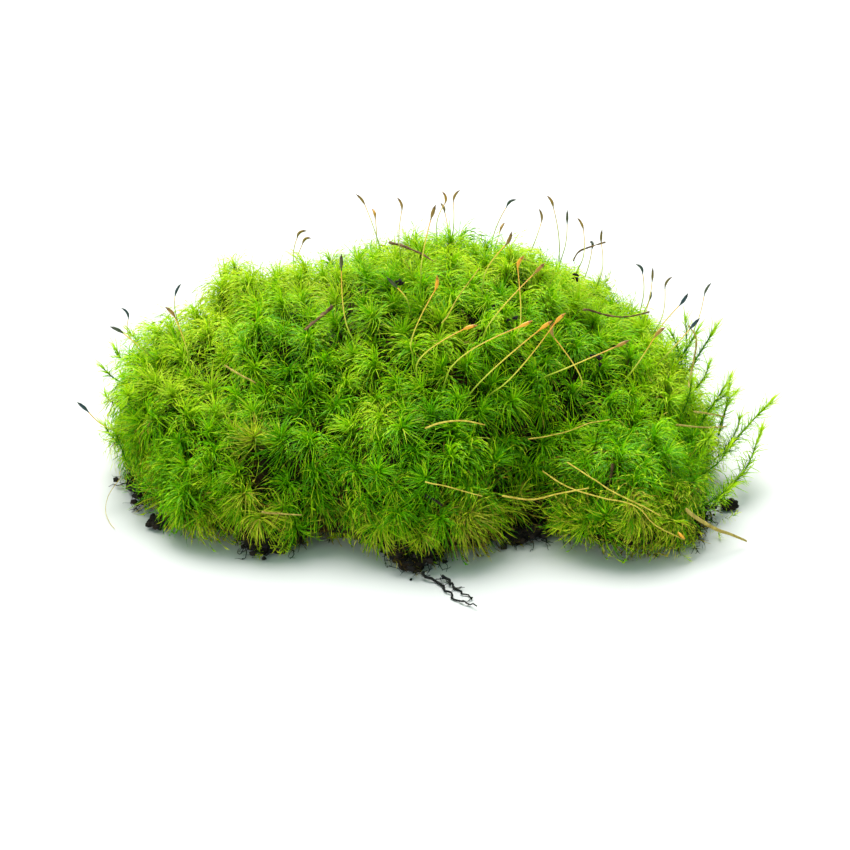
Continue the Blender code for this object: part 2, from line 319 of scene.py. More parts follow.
class Shader:
    """Short names for building one node material."""

    def __init__(self, name):
        self.material = bpy.data.materials.new(name)
        self.material.use_nodes = True
        self.tree = self.material.node_tree
        self.bsdf = self.tree.nodes["Principled BSDF"]
        self.output = self.tree.nodes["Material Output"]

    def node(self, kind, **settings):
        made = self.tree.nodes.new(kind)
        for key, value in settings.items():
            setattr(made, key, value)
        return made

    def wire(self, source, target):
        self.tree.links.new(source, target)

    def ramp(self, factor, stops):
        made = self.node("ShaderNodeValToRGB")
        elements = made.color_ramp.elements
        while len(elements) < len(stops):
            elements.new(0.5)
        for element, (place, colour) in zip(elements, stops):
            element.position = place
            element.color = (*colour, 1)
        self.wire(factor, made.inputs["Fac"])
        return made.outputs["Color"]

    def noise(self, scale, detail=3.0, rough=0.55):
        spots = self.node("ShaderNodeTexCoord")
        made = self.node("ShaderNodeTexNoise")
        made.inputs["Scale"].default_value = scale
        made.inputs["Detail"].default_value = detail
        made.inputs["Roughness"].default_value = rough
        self.wire(spots.outputs["Object"], made.inputs["Vector"])
        return made.outputs["Fac"]

    def tones(self):
        made = self.node("ShaderNodeUVMap", uv_map="OFBake")
        apart = self.node("ShaderNodeSeparateXYZ")
        self.wire(made.outputs["UV"], apart.inputs["Vector"])
        return apart.outputs["X"], apart.outputs["Y"]

    def mix(self, factor, one, two, blend="MIX"):
        made = self.node("ShaderNodeMix", data_type="RGBA", blend_type=blend)
        for socket, value in (("Factor", factor), ("A", one), ("B", two)):
            self.put(made.inputs[socket], value)
        return made.outputs["Result"]

    def put(self, socket, value):
        if isinstance(value, (int, float)):
            socket.default_value = value
        elif isinstance(value, tuple):
            socket.default_value = (*value, 1)
        else:
            self.wire(value, socket)

    def bump(self, height, strength, distance):
        made = self.node("ShaderNodeBump")
        made.inputs["Strength"].default_value = strength
        made.inputs["Distance"].default_value = distance
        self.wire(height, made.inputs["Height"])
        self.wire(made.outputs["Normal"], self.bsdf.inputs["Normal"])

    def finish(self, roughness, specular):
        self.bsdf.inputs["Roughness"].default_value = roughness
        self.bsdf.inputs["Specular IOR Level"].default_value = specular
        return self.material


# Along u, the tone of a leaf: black, brown and straw when dead, then olive, deep green and lime.
LEAF_TONES = (
    (0.0, (0.016, 0.018, 0.01)),
    (0.05, (0.08, 0.035, 0.01)),
    (0.1, (0.32, 0.2, 0.02)),
    (0.2, (0.74, 0.66, 0.08)),
    (0.3, (0.84, 0.96, 0.04)),
    (0.42, (0.5, 0.86, 0.004)),
    (0.46, (0.1, 0.4, 0.001)),
    (0.65, (0.22, 0.66, 0.001)),
    (0.82, (0.54, 0.92, 0.002)),
    (1.0, (0.8, 0.98, 0.04)),
)
# Along v, painted shade: near black at a leaf's foot, deep in the cushion, full colour towards its tip.
LEAF_PAINTED_SHADE = (
    (0.0, (0.03, 0.06, 0.02)),
    (0.3, (0.15, 0.25, 0.14)),
    (0.6, (0.62, 0.74, 0.6)),
    (0.85, (1, 1, 1)),
)
SOIL_TONES = (
    (0.3, (0.004, 0.004, 0.004)),
    (0.5, (0.014, 0.011, 0.009)),
    (0.66, (0.04, 0.024, 0.014)),
    (0.8, (0.12, 0.07, 0.03)),
)
# near black in the darker half: partly dead brown shoots, partly painted shade in the gaps between the
# leaves
THATCH_AND_SHADE_TONES = ((0.3, (0.004, 0.005, 0.001)), (0.5, (0.02, 0.018, 0.003)), (0.66, (0.1, 0.035, 0.012)))
SETA_TONES = (
    (0.0, (0.25, 0.4, 0.02)),
    (0.25, (0.62, 0.66, 0.05)),
    (0.5, (0.82, 0.62, 0.06)),
    (0.7, (0.85, 0.45, 0.04)),
)
CAPSULE_TONES = (
    (0.1, (0.95, 0.42, 0.02)),
    (0.4, (0.4, 0.22, 0.03)),
    (0.65, (0.06, 0.075, 0.02)),
    (0.95, (0.012, 0.045, 0.06)),
)
LID_TONES = ((0.0, (1, 1, 1)), (0.9, (1, 1, 1)), (0.93, (0.45, 0.35, 0.3)), (1.0, (0.9, 0.8, 0.7)))


def leaf_material():
    s = Shader("moss_leaf")
    u, v = s.tones()
    tone = s.ramp(u, LEAF_TONES)
    # painted shade: each leaf darkened towards its foot
    shade = s.ramp(v, LEAF_PAINTED_SHADE)
    colour = s.mix(1.0, tone, shade, "MULTIPLY")
    s.wire(colour, s.bsdf.inputs["Base Color"])
    s.finish(0.36, 0.11)
    through_light = s.node("ShaderNodeBsdfTranslucent")
    s.wire(s.mix(1.0, colour, (1.0, 0.95, 0.5), "MULTIPLY"), through_light.inputs["Color"])
    blend = s.node("ShaderNodeMixShader")
    blend.inputs["Fac"].default_value = LIGHT_THROUGH
    s.wire(s.bsdf.outputs["BSDF"], blend.inputs[1])
    s.wire(through_light.outputs["BSDF"], blend.inputs[2])
    s.wire(blend.outputs["Shader"], s.output.inputs["Surface"])
    return s.material


def stem_material():
    s = Shader("moss_stem")
    tone = s.ramp(s.noise(900), ((0.3, (0.05, 0.025, 0.01)), (0.7, (0.16, 0.1, 0.03))))
    s.wire(tone, s.bsdf.inputs["Base Color"])
    return s.finish(0.7, 0.3)


def thatch_and_shade_material():
    s = Shader("thatch_and_shade")
    s.wire(s.ramp(s.noise(420, 6, 0.7), THATCH_AND_SHADE_TONES), s.bsdf.inputs["Base Color"])
    s.bump(s.noise(900, 4, 0.7), 0.9, 0.002)
    return s.finish(0.9, 0.2)


def humus_material():
    s = Shader("humus")
    s.wire(s.ramp(s.noise(350, 6, 0.65), SOIL_TONES), s.bsdf.inputs["Base Color"])
    s.bump(s.noise(1200, 5, 0.7), 0.8, 0.0012)
    return s.finish(0.85, 0.25)


def root_material():
    s = Shader("root_bark")
    tone = s.ramp(s.noise(1400, 4), ((0.3, (0.003, 0.006, 0.007)), (0.7, (0.016, 0.016, 0.014))))
    s.wire(tone, s.bsdf.inputs["Base Color"])
    s.bump(s.noise(2500, 3), 0.5, 0.0004)
    return s.finish(0.75, 0.15)


def wood_material(name, dark, light, scale):
    s = Shader(name)
    grain = s.noise(scale, 5, 0.65)
    s.wire(s.ramp(grain, ((0.32, dark), (0.68, light))), s.bsdf.inputs["Base Color"])
    s.bump(s.noise(scale * 2.2, 4, 0.6), 0.6, 0.0004)
    return s.finish(0.78, 0.12)


def stalk_material():
    """v runs from the foot to 0.7 at the neck and on to the beak; u picks the capsule's colour."""
    s = Shader("spore_stalk")
    u, v = s.tones()
    seta = s.ramp(v, SETA_TONES)
    capsule = s.ramp(u, CAPSULE_TONES)
    lid = s.ramp(v, LID_TONES)
    past_neck = s.node("ShaderNodeMath", operation="GREATER_THAN")
    s.wire(v, past_neck.inputs[0])
    past_neck.inputs[1].default_value = 0.71
    both = s.mix(past_neck.outputs["Value"], seta, capsule)
    s.wire(s.mix(1.0, both, lid, "MULTIPLY"), s.bsdf.inputs["Base Color"])
    return s.finish(0.38, 0.5)


def floor_material():
    s = Shader("studio_floor")
    tone = s.ramp(s.noise(2.0, 2), ((0.0, (0.72, 0.72, 0.73)), (1.0, (0.74, 0.74, 0.75))))
    s.wire(tone, s.bsdf.inputs["Base Color"])
    return s.finish(0.9, 0.1)


# ---------------------------------------------------------------- pieces


def adopt(obj, slot, *nodes):
    """Ties a piece to the one body and hides the CAD nodes it stands for; the slot is not used."""
    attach(obj, "root")
    if nodes:
        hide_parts(*nodes)


def patch_noise(spots, size, shift):
    return np.array([noise.noise(Vector(spot / size) + Vector((shift, 0, 0))) for spot in spots])


def shoot_tones(spots, rng):
    """One tone for each shoot: olive and tan low down, deep green in front, lime on the crown, partly
    painted light.
    """
    height = np.clip(spots[:, 2] / 0.057, 0, 1)
    back = np.clip(spots[:, 1] / 0.05, -1, 1)
    left = np.clip(-spots[:, 0] / 0.07, 0, 1)
    right = np.clip((spots[:, 0] - 0.035) / 0.03, 0, 1)
    # lighter to the crown, the back and both ends, darker in front: partly the moss's own colour, partly
    # painted light from above and behind, and painted shade in front
    tone = 0.58 + 0.25 * height + 0.1 * back + 0.14 * left + 0.16 * right
    tone += 0.24 * patch_noise(spots, 0.026, 3.0) + 0.12 * patch_noise(spots, 0.011, 21.0)
    tone += rng.normal(0, 0.05, len(spots))
    low = np.clip((0.02 - spots[:, 2]) / 0.016, 0, 1)
    tone = np.maximum(tone, 0.46)
    # low shoots get pale yellow-lime tones: partly their own colour, partly painted light on the skirt,
    # which sits in shade
    olive = low > rng.uniform(0.1, 1.3, len(spots))
    tone[olive] = rng.uniform(0.31, 0.44, olive.sum())
    faded = rng.random(len(spots)) < 0.004 + 0.05 * low
    tone[faded] = rng.uniform(0.22, 0.3, faded.sum())
    return np.clip(tone, 0.06, 0.96)


def moss_shoots(leaf, stem):
    rng = np.random.default_rng(41)
    cushion = NODES["moss_cushion"]
    points, faces = welded(cushion)
    normals = skin_normals(points, faces, 2)
    spots, outs = scatter(points, faces, normals, SHOOT_SPACING_MM * MM, rng)
    # the flat underside stays bare, all but its rim
    seen = ~((outs[:, 2] < -0.6) & (np.hypot(spots[:, 0] / 0.07, spots[:, 1] / 0.05) < 0.92))
    for hollow in HOLLOWS_MM:
        seen &= np.linalg.norm(spots - np.array(hollow) * MM, axis=1) > HOLLOW_RADIUS
    spots, outs = spots[seen], outs[seen]
    low = np.clip((SKIRT_TOP - spots[:, 2]) / 0.012, 0, 1)[:, None]
    lift = 1.1 - 0.5 * low
    axis = unit(outs + UP * lift + rng.normal(0, 0.3, outs.shape))
    order = np.argsort(np.arctan2(spots[:, 1], spots[:, 0]))
    spots, outs, axis, low = spots[order], outs[order], axis[order], low[order, 0]
    count = len(spots)
    tones = shoot_tones(spots, rng)
    for bleached in BLEACHED_MM:
        tones[np.linalg.norm(spots - np.array(bleached) * MM, axis=1).argmin()] = 0.32
    vigour = rng.uniform(0.84, 1.14, count)
    facing_up = np.clip(outs[:, 2], 0, 1)
    inset = SIDE_INSET_MM + (TOP_INSET_MM - SIDE_INSET_MM) * facing_up
    inset = (inset + rng.uniform(-1.8, 2.4, count)) * MM
    apex = spots - unit(outs) * inset[:, None]
    drift = np.stack([patch_noise(spots, 0.022, shift) for shift in (9.0, 17.0, 33.0)], 1)
    flow = drift * 1.8 + outs * 0.7 - UP * 0.2 + rng.normal(0, 0.4, (count, 3))

    n = LEAVES_PER_SHOOT
    age = (np.arange(n) / (n - 1))[None] * np.ones((count, 1))
    down = LEAFY_LENGTH_MM * MM * age**1.15
    who = np.repeat(np.arange(count), n)
    age, down = age.reshape(-1), down.reshape(-1)
    around = np.tile(np.arange(n) * LEAF_TURN, count) + rng.normal(0, 0.5, count * n)
    length = (YOUNG_LEAF_MM + (OLD_LEAF_MM - YOUNG_LEAF_MM) * np.sqrt(age)) * MM
    length *= (vigour * (1 + 0.12 * low))[who] * rng.uniform(0.66, 1.14, count * n)
    lean = np.radians(8 + 36 * age**0.8 + rng.normal(0, 14, count * n))
    curl = np.radians(92 + 42 * age + rng.normal(0, 30, count * n))
    droop = 0.15 + 0.6 * age * rng.uniform(0.3, 1.6, count * n) + 0.3 * low[who]
    comb = np.clip(rng.normal(0.62 - 0.25 * age, 0.24), -0.3, 1.0)
    handed = rng.choice((-1.0, 1.0), count) * rng.uniform(0.2, 1.3, count)
    swirl = handed[who] * rng.uniform(0.5, 1.3, count * n) + rng.normal(0, 0.32, count * n)
    width = LEAF_WIDTH_MM * MM * rng.uniform(0.75, 1.15, count * n)
    twist = rng.normal(0, 0.7, count * n)
    floor = rng.uniform(0.0004, 0.0016, count * n)
    # older leaves, lower on the stem, are a little deeper in tone: partly their own colour, partly painted
    # shade deeper in the cushion
    leaf_tone = tones[who] - 0.08 * age**2 + rng.normal(0, 0.11, count * n)
    browned = rng.random(count * n) < 0.01 + 0.05 * age**2 + 0.3 * age**8
    leaf_tone[browned] = rng.uniform(0.05, 0.28, browned.sum())
    leaf_tone = np.clip(leaf_tone, 0.02, 0.99)
    base = apex[who] - axis[who] * down[:, None]

    chunks = np.array_split(np.arange(count), MOSS_PIECES)
    per_leaf = LEAF_STEPS + 1
    for i, chunk in enumerate(chunks, 1):
        rows = (chunk[:, None] * n + np.arange(n)[None]).reshape(-1)
        made, tris, along = grow_leaves(
            base[rows],
            axis[who[rows]],
            around[rows],
            length[rows],
            lean[rows],
            curl[rows],
            droop[rows],
            flow[who[rows]],
            comb[rows],
            swirl[rows],
            width[rows],
            twist[rows],
            floor[rows],
            age[rows],
        )
        pairs = np.stack((np.repeat(leaf_tone[rows], per_leaf), along), 1)
        obj = new_object(f"moss_shoots_{i}", triangle_mesh(f"moss_shoots_{i}", made, tris, pairs), leaf)
        adopt(obj, "moss_green", "moss_cushion")

    parts = []
    for spot, way in zip(apex, axis):
        line = np.array([spot - way * d * MM for d in STEM_DEPTHS_MM])
        line[:, 2] = np.maximum(line[:, 2], 0.001)
        made, tris = tube(line, STEM_RADII, 4)
        parts.append((made, tris, np.zeros((len(made), 2))))
    made, tris, _ = joined(parts)
    adopt(new_object("moss_stems", triangle_mesh("moss_stems", made, tris), stem), "moss_green")
    return points, faces, normals


def evaluated_copy(name, points, faces, modifiers):
    """Runs modifiers on a plain mesh and returns the result as a new mesh."""
    helper = bpy.data.objects.new(name + "_helper", triangle_mesh(name + "_helper", points, faces))
    bpy.context.scene.collection.objects.link(helper)
    for kind, settings in modifiers:
        modifier = helper.modifiers.new(kind.lower(), kind)
        for key, value in settings.items():
            setattr(modifier, key, value)
    graph = bpy.context.evaluated_depsgraph_get()
    mesh = bpy.data.meshes.new_from_object(helper.evaluated_get(graph))
    mesh.name = name
    bpy.data.objects.remove(helper)
    return mesh


def clouds(name, size):
    texture = bpy.data.textures.new(name, "CLOUDS")
    texture.noise_scale = size
    texture.noise_depth = 2
    return texture


def vertices_of(mesh):
    points = np.empty(len(mesh.vertices) * 3, np.float32)
    mesh.vertices.foreach_get("co", points)
    return points.reshape(-1, 3).astype(float)


def put_vertices(mesh, points):
    mesh.vertices.foreach_set("co", points.astype(np.float32).reshape(-1))
    mesh.update()


def thatch(points, faces, mat):
    """The dead brown lower shoots, seen in the hollows, near black as painted shade between the leaves: the
    skin drawn in under the leaves.
    """
    mesh = evaluated_copy(
        "thatch_and_shade", points, faces, [("REMESH", {"mode": "VOXEL", "voxel_size": 0.0022})]
    )
    spots = vertices_of(mesh)
    normals = np.empty(len(spots) * 3, np.float32)
    mesh.vertices.foreach_get("normal", normals)
    normals = normals.reshape(-1, 3).astype(float)
    rough = patch_noise(spots, 0.006, 5.0) * 0.0025 + patch_noise(spots, 0.0022, 11.0) * 0.0014
    shift = normals * (rough - THATCH_DEPTH)[:, None]
    shift[:, 2] = np.where(normals[:, 2] < 0, 0, shift[:, 2])
    spots = spots + shift
    spots[:, 2] = np.maximum(spots[:, 2], THATCH_LOW)
    put_vertices(mesh, spots)
    adopt(new_object("thatch_and_shade", mesh, mat), "moss_green")


def humus(mat):
    points, faces = welded(NODES["humus_mat"])
    mesh = evaluated_copy(
        "humus_soil",
        points,
        faces,
        [
            ("REMESH", {"mode": "VOXEL", "voxel_size": 0.0011}),
            ("DISPLACE", {"texture": clouds("clods", 0.004), "strength": 0.005, "mid_level": 0.72}),
            ("DISPLACE", {"texture": clouds("grit", 0.0012), "strength": 0.0024, "mid_level": 0.55}),
        ],
    )
    spots = vertices_of(mesh)
    spots[:, 2] = np.maximum(spots[:, 2], 0.0)
    put_vertices(mesh, spots)
    adopt(new_object("humus_soil", mesh, mat), "humus_brown", "humus_mat")
    return points


def rough_copy(name, nodes, mat, slot, levels, strength, size):
    """The CAD solids, rounded, given a weathered skin and lowered by their row in SUNK_MM."""
    parts = []
    for node in nodes:
        points, faces = welded(NODES[node])
        parts.append((points - UP * SUNK_MM.get(node, 0) * MM, faces, np.zeros((len(points), 2))))
    points, faces, _ = joined(parts)
    mesh = evaluated_copy(
        name,
        points,
        faces,
        [
            ("SUBSURF", {"levels": levels, "render_levels": levels}),
            ("DISPLACE", {"texture": clouds(name, size), "strength": strength, "mid_level": 0.5}),
        ],
    )
    spots = vertices_of(mesh)
    spots[:, 2] = np.maximum(spots[:, 2], 0.00005)
    put_vertices(mesh, spots)
    adopt(new_object(name, mesh, mat), slot, *nodes)


def slim_copies(name, nodes, mat, slot, thick, thin, wander=0.0):
    """Round, tapering stand-ins along the middle of long CAD solids, which may wander a little."""
    parts = []
    for node in nodes:
        points, _ = welded(NODES[node])
        middle = points.mean(0)
        main = np.linalg.svd(points - middle)[2][0]
        place = (points - middle) @ main
        edges = np.linspace(place.min(), place.max(), 10)
        groups = [points[(place >= a - 1e-9) & (place <= b + 1e-9)] for a, b in zip(edges, edges[1:])]
        line = np.array([group.mean(0) for group in groups if len(group)])
        line = through(np.vstack((points[place.argmin()], line[1:-1], points[place.argmax()])), SLIM_STEPS)
        line += wander * MM * np.stack([patch_noise(line, 0.002, shift) for shift in (2.0, 5.0, 8.0)], 1)
        line[:, 2] = np.maximum(line[:, 2], thick * MM)
        made, tris = tube(line, np.linspace(thick, thin, SLIM_STEPS) * MM, SLIM_SIDES)
        parts.append((made, tris, np.zeros((len(made), 2))))
    made, tris, _ = joined(parts)
    adopt(new_object(name, triangle_mesh(name, made, tris), mat), slot, *nodes)


def rings_of(node, sides):
    """Centre of each ring of a lofted solid, from its thinnest end to its other end."""
    points, faces = welded(NODES[node])
    gaps = np.linalg.norm(points[:, None] - points[None], axis=2)
    start = np.sort(gaps, axis=1)[:, sides - 1].argmin()
    ring = set(np.argsort(gaps[start])[:sides].tolist())
    left = set(range(len(points))) - ring
    rings = [ring]
    while left:
        touched = set()
        for face in faces.tolist():
            if rings[-1].intersection(face):
                touched.update(face)
        ring = touched & left
        if not ring:
            break
        rings.append(ring)
        left -= ring
    return np.array([points[sorted(ring)].mean(0) for ring in rings])


ORANGE = {f"sporophyte_{number}" for number in (13, 15, 16, 17, 18, 19)}
SLATE = {f"sporophyte_{number:02d}" for number in (1, 2, 30, 31, 32)}


def stalk_shape(centres, neck, tone, girth):
    """A slim stalk with its capsule, from ring centres that run foot to beak."""
    seta = through(centres[: neck + 1], SETA_STEPS)
    root = seta[0] - unit(seta[1] - seta[0]) * 0.005 + np.array((0, 0, -0.0005))
    seta = np.vstack((root, seta))
    cap = through(centres[neck:], len(CAPSULE_SHAPE_MM))
    cap = np.vstack((cap, cap[-1] + (cap[-1] - cap[-2]) * 0.9))
    cap_radii = [radius * MM for radius in CAPSULE_SHAPE_MM] + [0.00004]
    line = np.vstack((seta[:-1], cap))
    radii = girth * np.concatenate((np.linspace(0.00018, 0.00013, len(seta) - 1), cap_radii))
    points, faces = tube(line, radii, STALK_SIDES)
    v = np.concatenate((np.linspace(0, 0.69, len(seta) - 1), np.linspace(0.72, 1, len(cap))))
    v = np.concatenate((np.repeat(v, STALK_SIDES), (0, 1)))
    return points, faces, np.stack((np.full(len(points), tone), v), 1)


def sporophytes(mat):
    rng = np.random.default_rng(8)
    for node in sorted(name for name in NODES if name.startswith("sporophyte")):
        centres = rings_of(node, RING_SIDES)[::-1]
        tone = ORANGE_TONE if node in ORANGE else SLATE_TONE if node in SLATE else rng.uniform(0.3, 0.72)
        girth = FAR_GIRTH if centres[0, 1] > 0 else 1.0
        points, faces, tones = stalk_shape(centres, len(centres) - CAPSULE_RINGS, tone, girth)
        name = "spore_stalk_" + node[-2:]
        adopt(new_object(name, triangle_mesh(name, points, faces, tones), mat), "stalk_ochre", node)


def far_side_stalks(points, faces, normals, mat):
    """More spore stalks on the back, which would otherwise be bare of them."""
    rng = np.random.default_rng(77)
    spots, outs = scatter(points, faces, normals, 0.012, rng, 3000)
    good = (spots[:, 1] > 0.03) & (spots[:, 2] > 0.015) & (spots[:, 2] < 0.042)
    spots, outs = spots[good][:BACK_STALKS], outs[good][:BACK_STALKS]
    parts = []
    for spot, out in zip(spots, outs):
        way = unit(out + UP * 0.9 + rng.normal(0, 0.25, 3))
        side = unit(rng.normal(0, 1, 3) * (1, 1, 0.1))
        length = rng.uniform(0.007, 0.012)
        line = [spot + (way * t + side * 0.25 * t**2) * length for t in np.linspace(0, 1, 7)]
        nod = line[-1]
        for k in range(6):
            nod = nod + unit(way * (1 - k / 6) + side * (0.3 + k / 6)) * 0.00055
            line.append(nod)
        parts.append(stalk_shape(np.array(line), 6, rng.uniform(0.1, 0.95), BACK_GIRTH))
    made, tris, tones = joined(parts)
    mesh = triangle_mesh("spore_stalks_back", made, tris, tones)
    adopt(new_object("spore_stalks_back", mesh, mat), "stalk_ochre")


def leafy_line(line, rng, leaves_per_mm, leaf_mm, lean, tones):
    """Leaves all along a stem, as points, faces and tones. Tones are its foot's and tip's."""
    line = through(line, LINE_STEPS)
    reach = np.linalg.norm(np.diff(line, axis=0), axis=1).sum()
    n = max(8, int(reach / MM * leaves_per_mm))
    t = np.linspace(0.05, 1, n) ** 0.9
    steps = np.arange(LINE_STEPS)
    at = np.stack([np.interp(t * (LINE_STEPS - 1), steps, line[:, k]) for k in range(3)], 1)
    young = np.clip((t - 0.7) / 0.3, 0, 1)
    made, tris, along = grow_leaves(
        at,
        unit(np.gradient(at, axis=0)),
        np.arange(n) * LEAF_TURN + rng.normal(0, 0.3, n),
        rng.uniform(0.75, 1.15, n) * leaf_mm * MM,
        np.radians(lean * (1 - 0.7 * young) + rng.normal(0, 11, n)),
        np.radians(52 * (1 - young) + rng.normal(0, 34, n)),
        rng.uniform(-0.1, 0.4, n),
        rng.normal(0, 1, (1, 3)) * np.ones((n, 1)),
        rng.normal(0.2, 0.4, n),
        rng.normal(0, 0.9, n),
        rng.uniform(0.2, 0.3, n) * MM,
        rng.normal(0, 0.5, n),
        np.full(n, 0.0005),
        1 - 0.8 * t,
    )
    tone = np.clip(tones[0] + (tones[1] - tones[0]) * t + rng.normal(0, 0.05, n), 0.0, 0.97)
    return made, tris, np.stack((np.repeat(tone, LEAF_STEPS + 1), along), 1)


def stem_tube(line, thick, thin, sides, tone=(0.0, 0.0)):
    made, tris = tube(through(line, LINE_STEPS), np.linspace(thick, thin, LINE_STEPS), sides)
    return made, tris, np.tile(tone, (len(made), 1))


def sprigs(leaf):
    rng = np.random.default_rng(19)
    leaves = []
    names = sorted(name for name in NODES if name.startswith("leafy_sprig"))
    for node in names:
        points, _ = welded(NODES[node])
        middle = points.mean(0)
        main = np.linalg.svd(points - middle)[2][0]
        place = (points - middle) @ main
        ends = [points[np.argsort(place)[:8]].mean(0), points[np.argsort(-place)[:8]].mean(0)]
        ends.sort(key=lambda end: end[0] + end[2])
        bend = points[np.abs(place) < 0.25 * np.ptp(place)].mean(0)
        inner = ends[0] - unit(bend - ends[0]) * 0.004
        line = [inner, ends[0], bend, ends[1]]
        leaves.append(stem_tube(line, 0.0003, 0.00014, 5, GREEN_STEM))
        leaves.append(leafy_line(line, rng, 9, 4.4, 44, (0.7, 0.96)))
    made, tris, tones = joined(leaves)
    mesh = triangle_mesh("leafy_sprigs", made, tris, tones)
    adopt(new_object("leafy_sprigs", mesh, leaf), "moss_green", *names)


def wisps(points, faces, normals, leaf):
    """Thin stray shoots that stand out of the two ends."""
    rng = np.random.default_rng(61)
    spots, outs = scatter(points, faces, normals, 0.0055, rng, 9000)
    right = (spots[:, 0] > 0.063) & (spots[:, 2] > 0.009)
    left = (spots[:, 0] < -0.07) & (spots[:, 2] > 0.009)
    leaves = []
    kept = right | left
    for spot, out in zip(spots[kept][:STRAY_SHOOTS], outs[kept][:STRAY_SHOOTS]):
        way = unit(out * 0.8 + UP * rng.uniform(0.2, 1.1) + rng.normal(0, 0.3, 3))
        bend = unit(UP * 0.5 + rng.normal(0, 0.6, 3)) * 0.3
        reach = rng.uniform(0.004, 0.009) if spot[0] > 0 else rng.uniform(0.002, 0.0035)
        line = [spot - way * 0.005]
        line += [spot + (way * t + bend * t**2) * reach for t in (0.0, 0.5, 1.0)]
        leaves.append(stem_tube(line, 0.00018, 0.0001, 4, GREEN_STEM))
        leaves.append(leafy_line(line, rng, 8, 4.0, 52, (0.7, 0.95)))
    made, tris, tones = joined(leaves)
    adopt(new_object("stray_shoots", triangle_mesh("stray_shoots", made, tris, tones), leaf), "moss_green")


def rim_of(points):
    """The humus mat's outer edge, and the middle it is measured from."""
    middle = points[:, :2].mean(0)
    turn = np.arctan2(*(points[:, :2] - middle).T[::-1])
    away = np.linalg.norm(points[:, :2] - middle, axis=1)
    sector = ((turn + math.pi) / math.tau * RIM_SECTORS).astype(int) % RIM_SECTORS
    reach = [away[sector == k].max() if (sector == k).any() else 0 for k in range(RIM_SECTORS)]
    return points[away > np.array(reach)[sector] - RIM_WIDTH], middle


def dead_fringe(points, leaf):
    """Blackened lower shoots that hang out of the mat all round, thickest under the right end."""
    rng = np.random.default_rng(23)
    rim, middle = rim_of(points)
    parts = []
    for _ in range(FRINGE_SHOOTS):
        spot = rim[rng.integers(len(rim))].copy()
        if rng.random() < 0.35:
            spot = np.array(FRINGE_HEAP) + rng.normal(0, 1, 3) * (0.006, 0.006, 0)
        spot[2] = rng.uniform(0.002, 0.006)
        way = unit(np.append(spot[:2] - middle, 0.0))
        line = [spot - way * 0.003]
        for _ in range(4):
            way = unit(way + rng.normal(0, 0.45, 3) - UP * 0.25)
            nxt = line[-1] + way * rng.uniform(0.0008, 0.0018)
            nxt[2] = max(nxt[2], 0.0006)
            line.append(nxt)
        tone = rng.choice((0.0, 0.0, 0.03, 0.07, 0.3))
        parts.append(leafy_line(line, rng, 4.4, 2.2, 60, (tone, tone + 0.03)))
    made, tris, tones = joined(parts)
    adopt(new_object("dead_fringe", triangle_mesh("dead_fringe", made, tris, tones), leaf), "humus_brown")


def crumb(rng, centre, size, stretch=(1, 1, 0.8)):
    """One rough grain, from a sphere pushed in and out."""
    ball = bmesh.new()
    bmesh.ops.create_icosphere(ball, subdivisions=1, radius=1)
    ball.verts.ensure_lookup_table()
    points = np.array([v.co[:] for v in ball.verts])
    faces = np.array([[v.index for v in f.verts] for f in ball.faces])
    ball.free()
    points *= rng.uniform(0.55, 1.25, (len(points), 1)) * size * np.array(stretch)
    turn = rng.uniform(0, math.tau)
    cos, sin = math.cos(turn), math.sin(turn)
    spin = np.array(((cos, -sin, 0), (sin, cos, 0), (0, 0, 1)))
    points = points @ spin.T + centre
    points[:, 2] = np.maximum(points[:, 2], 0.00003)
    return points, faces, np.zeros((len(points), 2))


def crumbs(points, mat):
    """Grains of soil that cling to the mat's torn edge, and a few dropped beside it."""
    rng = np.random.default_rng(31)
    rim, middle = rim_of(points)
    parts = []
    for _ in range(SOIL_GRAINS):
        spot = rim[rng.integers(len(rim))].copy()
        out = unit(spot[:2] - middle)
        spot[:2] += out * rng.normal(-0.0006, 0.0012) + rng.normal(0, 0.0007, 2)
        spot[2] = rng.uniform(0.0004, 0.0052)
        parts.append(crumb(rng, spot, rng.uniform(0.0003, 0.0011)))
    for _ in range(DROPPED_GRAINS):
        spot = rim[rng.integers(len(rim))].copy()
        spot[:2] += unit(spot[:2] - middle) * rng.uniform(0.001, 0.004)
        size = rng.uniform(0.00015, 0.0004)
        spot[2] = size * 0.7
        parts.append(crumb(rng, spot, size))
    made, tris, _ = joined(parts)
    adopt(new_object("soil_grains", triangle_mesh("soil_grains", made, tris), mat), "humus_brown")


def litter(dark_mat, straw, stalk):
    """Small things caught in the moss: dark bits, fallen stalks, a loose capsule and a hair."""
    rng = np.random.default_rng(47)
    dark = []
    for spot in DARK_BITS_MM:
        for _ in range(3):
            centre = np.array(spot) * MM + rng.normal(0, 0.0005, 3)
            dark.append(crumb(rng, centre, rng.uniform(0.0005, 0.0009), (1.5, 0.6, 0.7)))
    dark.append(stem_tube(np.array(DARK_STALK_MM) * MM, 0.0004, 0.0003, 6))
    made, tris, _ = joined(dark)
    adopt(new_object("dark_litter", triangle_mesh("dark_litter", made, tris), dark_mat), "litter_tan")
    pale = [stem_tube(np.array(line) * MM, 0.00024, 0.00016, 6) for line in FALLEN_MM]
    pale.append(stem_tube(np.array(HAIR_MM) * MM, 0.00008, 0.00006, 5))
    made, tris, _ = joined(pale)
    adopt(new_object("fallen_stalks", triangle_mesh("fallen_stalks", made, tris), straw), "litter_tan")
    line = through(np.array(LOOSE_CAPSULE_MM) * MM, 8)
    made, tris = tube(line, np.array(LOOSE_SHAPE_MM) * MM, STALK_SIDES)
    tones = np.tile((ORANGE_TONE, 0.8), (len(made), 1))
    mesh = triangle_mesh("loose_capsule", made, tris, tones)
    adopt(new_object("loose_capsule", mesh, stalk), "stalk_ochre")


